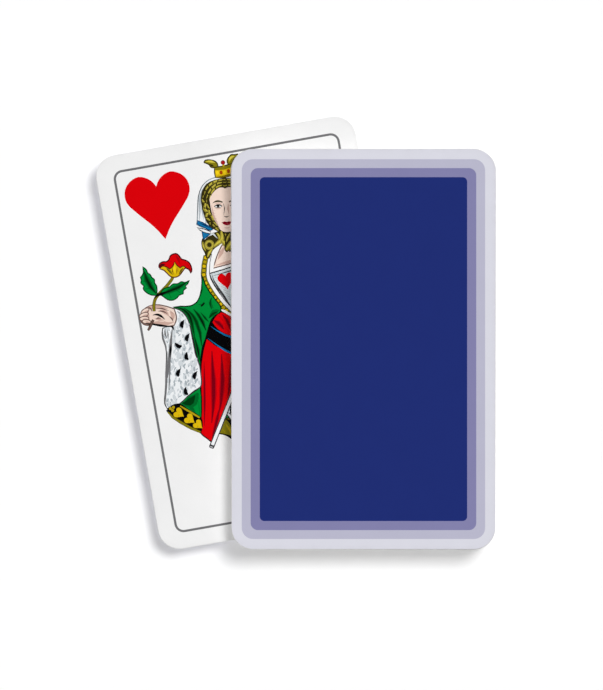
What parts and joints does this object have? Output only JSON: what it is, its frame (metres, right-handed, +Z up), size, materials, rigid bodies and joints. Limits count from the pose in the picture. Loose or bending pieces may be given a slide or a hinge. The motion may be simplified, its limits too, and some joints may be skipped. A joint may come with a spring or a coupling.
{
  "type": "playing card deck",
  "caption": "Squared deck of French-suited playing cards lying face down, with the queen of hearts turned face up and half drawn out. Every card is loose.",
  "frame": {"origin": "middle of the bottom card's lower face, on the table", "axes": "+Z up through the deck, +Y along the cards' length, +X across their width"},
  "size_m": [0.088, 0.0953, 0.012],
  "materials": {
    "face_down_card": "satin",
    "face_up_card": "satin"
  },
  "bodies": {
    "queen_of_clubs": {"queen_of_clubs": "face_down_card"},
    "six_of_hearts": {"six_of_hearts": "face_down_card"},
    "three_of_clubs": {"three_of_clubs": "face_down_card"},
    "king_of_spades": {"king_of_spades": "face_down_card"},
    "seven_of_diamonds": {"seven_of_diamonds": "face_down_card"},
    "four_of_spades": {"four_of_spades": "face_down_card"},
    "ace_of_diamonds": {"ace_of_diamonds": "face_down_card"},
    "jack_of_clubs": {"jack_of_clubs": "face_down_card"},
    "five_of_hearts": {"five_of_hearts": "face_down_card"},
    "two_of_clubs": {"two_of_clubs": "face_down_card"},
    "queen_of_spades": {"queen_of_spades": "face_down_card"},
    "six_of_diamonds": {"six_of_diamonds": "face_down_card"},
    "three_of_spades": {"three_of_spades": "face_down_card"},
    "king_of_hearts": {"king_of_hearts": "face_down_card"},
    "seven_of_clubs": {"seven_of_clubs": "face_down_card"},
    "four_of_hearts": {"four_of_hearts": "face_down_card"},
    "ace_of_clubs": {"ace_of_clubs": "face_down_card"},
    "jack_of_spades": {"jack_of_spades": "face_down_card"},
    "five_of_diamonds": {"five_of_diamonds": "face_down_card"},
    "two_of_spades": {"two_of_spades": "face_down_card"},
    "queen_of_hearts": {"queen_of_hearts": "face_up_card"},
    "six_of_clubs": {"six_of_clubs": "face_down_card"},
    "three_of_hearts": {"three_of_hearts": "face_down_card"},
    "king_of_diamonds": {"king_of_diamonds": "face_down_card"},
    "seven_of_spades": {"seven_of_spades": "face_down_card"},
    "four_of_diamonds": {"four_of_diamonds": "face_down_card"},
    "ace_of_spades": {"ace_of_spades": "face_down_card"},
    "jack_of_hearts": {"jack_of_hearts": "face_down_card"},
    "five_of_clubs": {"five_of_clubs": "face_down_card"},
    "two_of_hearts": {"two_of_hearts": "face_down_card"},
    "queen_of_diamonds": {"queen_of_diamonds": "face_down_card"},
    "six_of_spades": {"six_of_spades": "face_down_card"},
    "three_of_diamonds": {"three_of_diamonds": "face_down_card"},
    "king_of_clubs": {"king_of_clubs": "face_down_card"},
    "seven_of_hearts": {"seven_of_hearts": "face_down_card"},
    "four_of_clubs": {"four_of_clubs": "face_down_card"},
    "ace_of_hearts": {"ace_of_hearts": "face_down_card"},
    "jack_of_diamonds": {"jack_of_diamonds": "face_down_card"},
    "five_of_spades": {"five_of_spades": "face_down_card"},
    "two_of_diamonds": {"two_of_diamonds": "face_down_card"}
  },
  "joints": [
    {"name": "fan_six_of_hearts", "type": "hinge", "parent": "queen_of_clubs", "child": "six_of_hearts", "pos_m": [-0.0242, -0.0392, 0.0003], "axis": [0, 0, -1], "range_deg": [-0.3, 1.25]},
    {"name": "fan_three_of_clubs", "type": "hinge", "parent": "queen_of_clubs", "child": "three_of_clubs", "pos_m": [-0.0242, -0.0392, 0.0006], "axis": [0, 0, -1], "range_deg": [-0.6, 2.5]},
    {"name": "fan_king_of_spades", "type": "hinge", "parent": "queen_of_clubs", "child": "king_of_spades", "pos_m": [-0.0242, -0.0392, 0.0009], "axis": [0, 0, -1], "range_deg": [-0.9, 3.75]},
    {"name": "fan_seven_of_diamonds", "type": "hinge", "parent": "queen_of_clubs", "child": "seven_of_diamonds", "pos_m": [-0.0242, -0.0392, 0.0012], "axis": [0, 0, -1], "range_deg": [-1.2, 5]},
    {"name": "fan_four_of_spades", "type": "hinge", "parent": "queen_of_clubs", "child": "four_of_spades", "pos_m": [-0.0242, -0.0392, 0.0015], "axis": [0, 0, -1], "range_deg": [-1.5, 6.25]},
    {"name": "fan_ace_of_diamonds", "type": "hinge", "parent": "queen_of_clubs", "child": "ace_of_diamonds", "pos_m": [-0.0242, -0.0392, 0.0018], "axis": [0, 0, -1], "range_deg": [-1.8, 7.5]},
    {"name": "fan_jack_of_clubs", "type": "hinge", "parent": "queen_of_clubs", "child": "jack_of_clubs", "pos_m": [-0.0242, -0.0392, 0.0021], "axis": [0, 0, -1], "range_deg": [-2.1, 8.75]},
    {"name": "fan_five_of_hearts", "type": "hinge", "parent": "queen_of_clubs", "child": "five_of_hearts", "pos_m": [-0.0242, -0.0392, 0.0024], "axis": [0, 0, -1], "range_deg": [-2.4, 10]},
    {"name": "fan_two_of_clubs", "type": "hinge", "parent": "queen_of_clubs", "child": "two_of_clubs", "pos_m": [-0.0242, -0.0392, 0.0027], "axis": [0, 0, -1], "range_deg": [-2.7, 11.25]},
    {"name": "fan_queen_of_spades", "type": "hinge", "parent": "queen_of_clubs", "child": "queen_of_spades", "pos_m": [-0.0242, -0.0392, 0.003], "axis": [0, 0, -1], "range_deg": [-3, 12.5]},
    {"name": "fan_six_of_diamonds", "type": "hinge", "parent": "queen_of_clubs", "child": "six_of_diamonds", "pos_m": [-0.0242, -0.0392, 0.0033], "axis": [0, 0, -1], "range_deg": [-3.3, 13.75]},
    {"name": "fan_three_of_spades", "type": "hinge", "parent": "queen_of_clubs", "child": "three_of_spades", "pos_m": [-0.0242, -0.0392, 0.0036], "axis": [0, 0, -1], "range_deg": [-3.6, 15]},
    {"name": "fan_king_of_hearts", "type": "hinge", "parent": "queen_of_clubs", "child": "king_of_hearts", "pos_m": [-0.0242, -0.0392, 0.0039], "axis": [0, 0, -1], "range_deg": [-3.9, 16.25]},
    {"name": "fan_seven_of_clubs", "type": "hinge", "parent": "queen_of_clubs", "child": "seven_of_clubs", "pos_m": [-0.0242, -0.0392, 0.0042], "axis": [0, 0, -1], "range_deg": [-4.2, 17.5]},
    {"name": "fan_four_of_hearts", "type": "hinge", "parent": "queen_of_clubs", "child": "four_of_hearts", "pos_m": [-0.0242, -0.0392, 0.0045], "axis": [0, 0, -1], "range_deg": [-4.5, 18.75]},
    {"name": "fan_ace_of_clubs", "type": "hinge", "parent": "queen_of_clubs", "child": "ace_of_clubs", "pos_m": [-0.0242, -0.0392, 0.0048], "axis": [0, 0, -1], "range_deg": [-4.8, 20]},
    {"name": "fan_jack_of_spades", "type": "hinge", "parent": "queen_of_clubs", "child": "jack_of_spades", "pos_m": [-0.0242, -0.0392, 0.0051], "axis": [0, 0, -1], "range_deg": [-5.1, 21.25]},
    {"name": "fan_five_of_diamonds", "type": "hinge", "parent": "queen_of_clubs", "child": "five_of_diamonds", "pos_m": [-0.0242, -0.0392, 0.0054], "axis": [0, 0, -1], "range_deg": [-5.4, 22.5]},
    {"name": "fan_two_of_spades", "type": "hinge", "parent": "queen_of_clubs", "child": "two_of_spades", "pos_m": [-0.0242, -0.0392, 0.0057], "axis": [0, 0, -1], "range_deg": [-5.7, 23.75]},
    {"name": "draw_queen_of_hearts", "type": "slide", "parent": "queen_of_clubs", "child": "queen_of_hearts", "axis": [-0.9884, 0.1521, 0], "range_m": [-0.0237, 0.036]},
    {"name": "fan_six_of_clubs", "type": "hinge", "parent": "queen_of_clubs", "child": "six_of_clubs", "pos_m": [-0.0242, -0.0392, 0.0063], "axis": [0, 0, -1], "range_deg": [-6.3, 26.25]},
    {"name": "fan_three_of_hearts", "type": "hinge", "parent": "queen_of_clubs", "child": "three_of_hearts", "pos_m": [-0.0242, -0.0392, 0.0066], "axis": [0, 0, -1], "range_deg": [-6.6, 27.5]},
    {"name": "fan_king_of_diamonds", "type": "hinge", "parent": "queen_of_clubs", "child": "king_of_diamonds", "pos_m": [-0.0242, -0.0392, 0.0069], "axis": [0, 0, -1], "range_deg": [-6.9, 28.75]},
    {"name": "fan_seven_of_spades", "type": "hinge", "parent": "queen_of_clubs", "child": "seven_of_spades", "pos_m": [-0.0242, -0.0392, 0.0072], "axis": [0, 0, -1], "range_deg": [-7.2, 30]},
    {"name": "fan_four_of_diamonds", "type": "hinge", "parent": "queen_of_clubs", "child": "four_of_diamonds", "pos_m": [-0.0242, -0.0392, 0.0075], "axis": [0, 0, -1], "range_deg": [-7.5, 31.25]},
    {"name": "fan_ace_of_spades", "type": "hinge", "parent": "queen_of_clubs", "child": "ace_of_spades", "pos_m": [-0.0242, -0.0392, 0.0078], "axis": [0, 0, -1], "range_deg": [-7.8, 32.5]},
    {"name": "fan_jack_of_hearts", "type": "hinge", "parent": "queen_of_clubs", "child": "jack_of_hearts", "pos_m": [-0.0242, -0.0392, 0.0081], "axis": [0, 0, -1], "range_deg": [-8.1, 33.75]},
    {"name": "fan_five_of_clubs", "type": "hinge", "parent": "queen_of_clubs", "child": "five_of_clubs", "pos_m": [-0.0242, -0.0392, 0.0084], "axis": [0, 0, -1], "range_deg": [-8.4, 35]},
    {"name": "fan_two_of_hearts", "type": "hinge", "parent": "queen_of_clubs", "child": "two_of_hearts", "pos_m": [-0.0242, -0.0392, 0.0087], "axis": [0, 0, -1], "range_deg": [-8.7, 36.25]},
    {"name": "fan_queen_of_diamonds", "type": "hinge", "parent": "queen_of_clubs", "child": "queen_of_diamonds", "pos_m": [-0.0242, -0.0392, 0.009], "axis": [0, 0, -1], "range_deg": [-9, 37.5]},
    {"name": "fan_six_of_spades", "type": "hinge", "parent": "queen_of_clubs", "child": "six_of_spades", "pos_m": [-0.0242, -0.0392, 0.0093], "axis": [0, 0, -1], "range_deg": [-9.3, 38.75]},
    {"name": "fan_three_of_diamonds", "type": "hinge", "parent": "queen_of_clubs", "child": "three_of_diamonds", "pos_m": [-0.0242, -0.0392, 0.0096], "axis": [0, 0, -1], "range_deg": [-9.6, 40]},
    {"name": "fan_king_of_clubs", "type": "hinge", "parent": "queen_of_clubs", "child": "king_of_clubs", "pos_m": [-0.0242, -0.0392, 0.0099], "axis": [0, 0, -1], "range_deg": [-9.9, 41.25]},
    {"name": "fan_seven_of_hearts", "type": "hinge", "parent": "queen_of_clubs", "child": "seven_of_hearts", "pos_m": [-0.0242, -0.0392, 0.0102], "axis": [0, 0, -1], "range_deg": [-10.2, 42.5]},
    {"name": "fan_four_of_clubs", "type": "hinge", "parent": "queen_of_clubs", "child": "four_of_clubs", "pos_m": [-0.0242, -0.0392, 0.0105], "axis": [0, 0, -1], "range_deg": [-10.5, 43.75]},
    {"name": "fan_ace_of_hearts", "type": "hinge", "parent": "queen_of_clubs", "child": "ace_of_hearts", "pos_m": [-0.0242, -0.0392, 0.0108], "axis": [0, 0, -1], "range_deg": [-10.8, 45]},
    {"name": "fan_jack_of_diamonds", "type": "hinge", "parent": "queen_of_clubs", "child": "jack_of_diamonds", "pos_m": [-0.0242, -0.0392, 0.0111], "axis": [0, 0, -1], "range_deg": [-11.1, 46.25]},
    {"name": "fan_five_of_spades", "type": "hinge", "parent": "queen_of_clubs", "child": "five_of_spades", "pos_m": [-0.0242, -0.0392, 0.0114], "axis": [0, 0, -1], "range_deg": [-11.4, 47.5]},
    {"name": "fan_two_of_diamonds", "type": "hinge", "parent": "queen_of_clubs", "child": "two_of_diamonds", "pos_m": [-0.0242, -0.0392, 0.0117], "axis": [0, 0, -1], "range_deg": [-11.7, 48.75]}
  ]
}
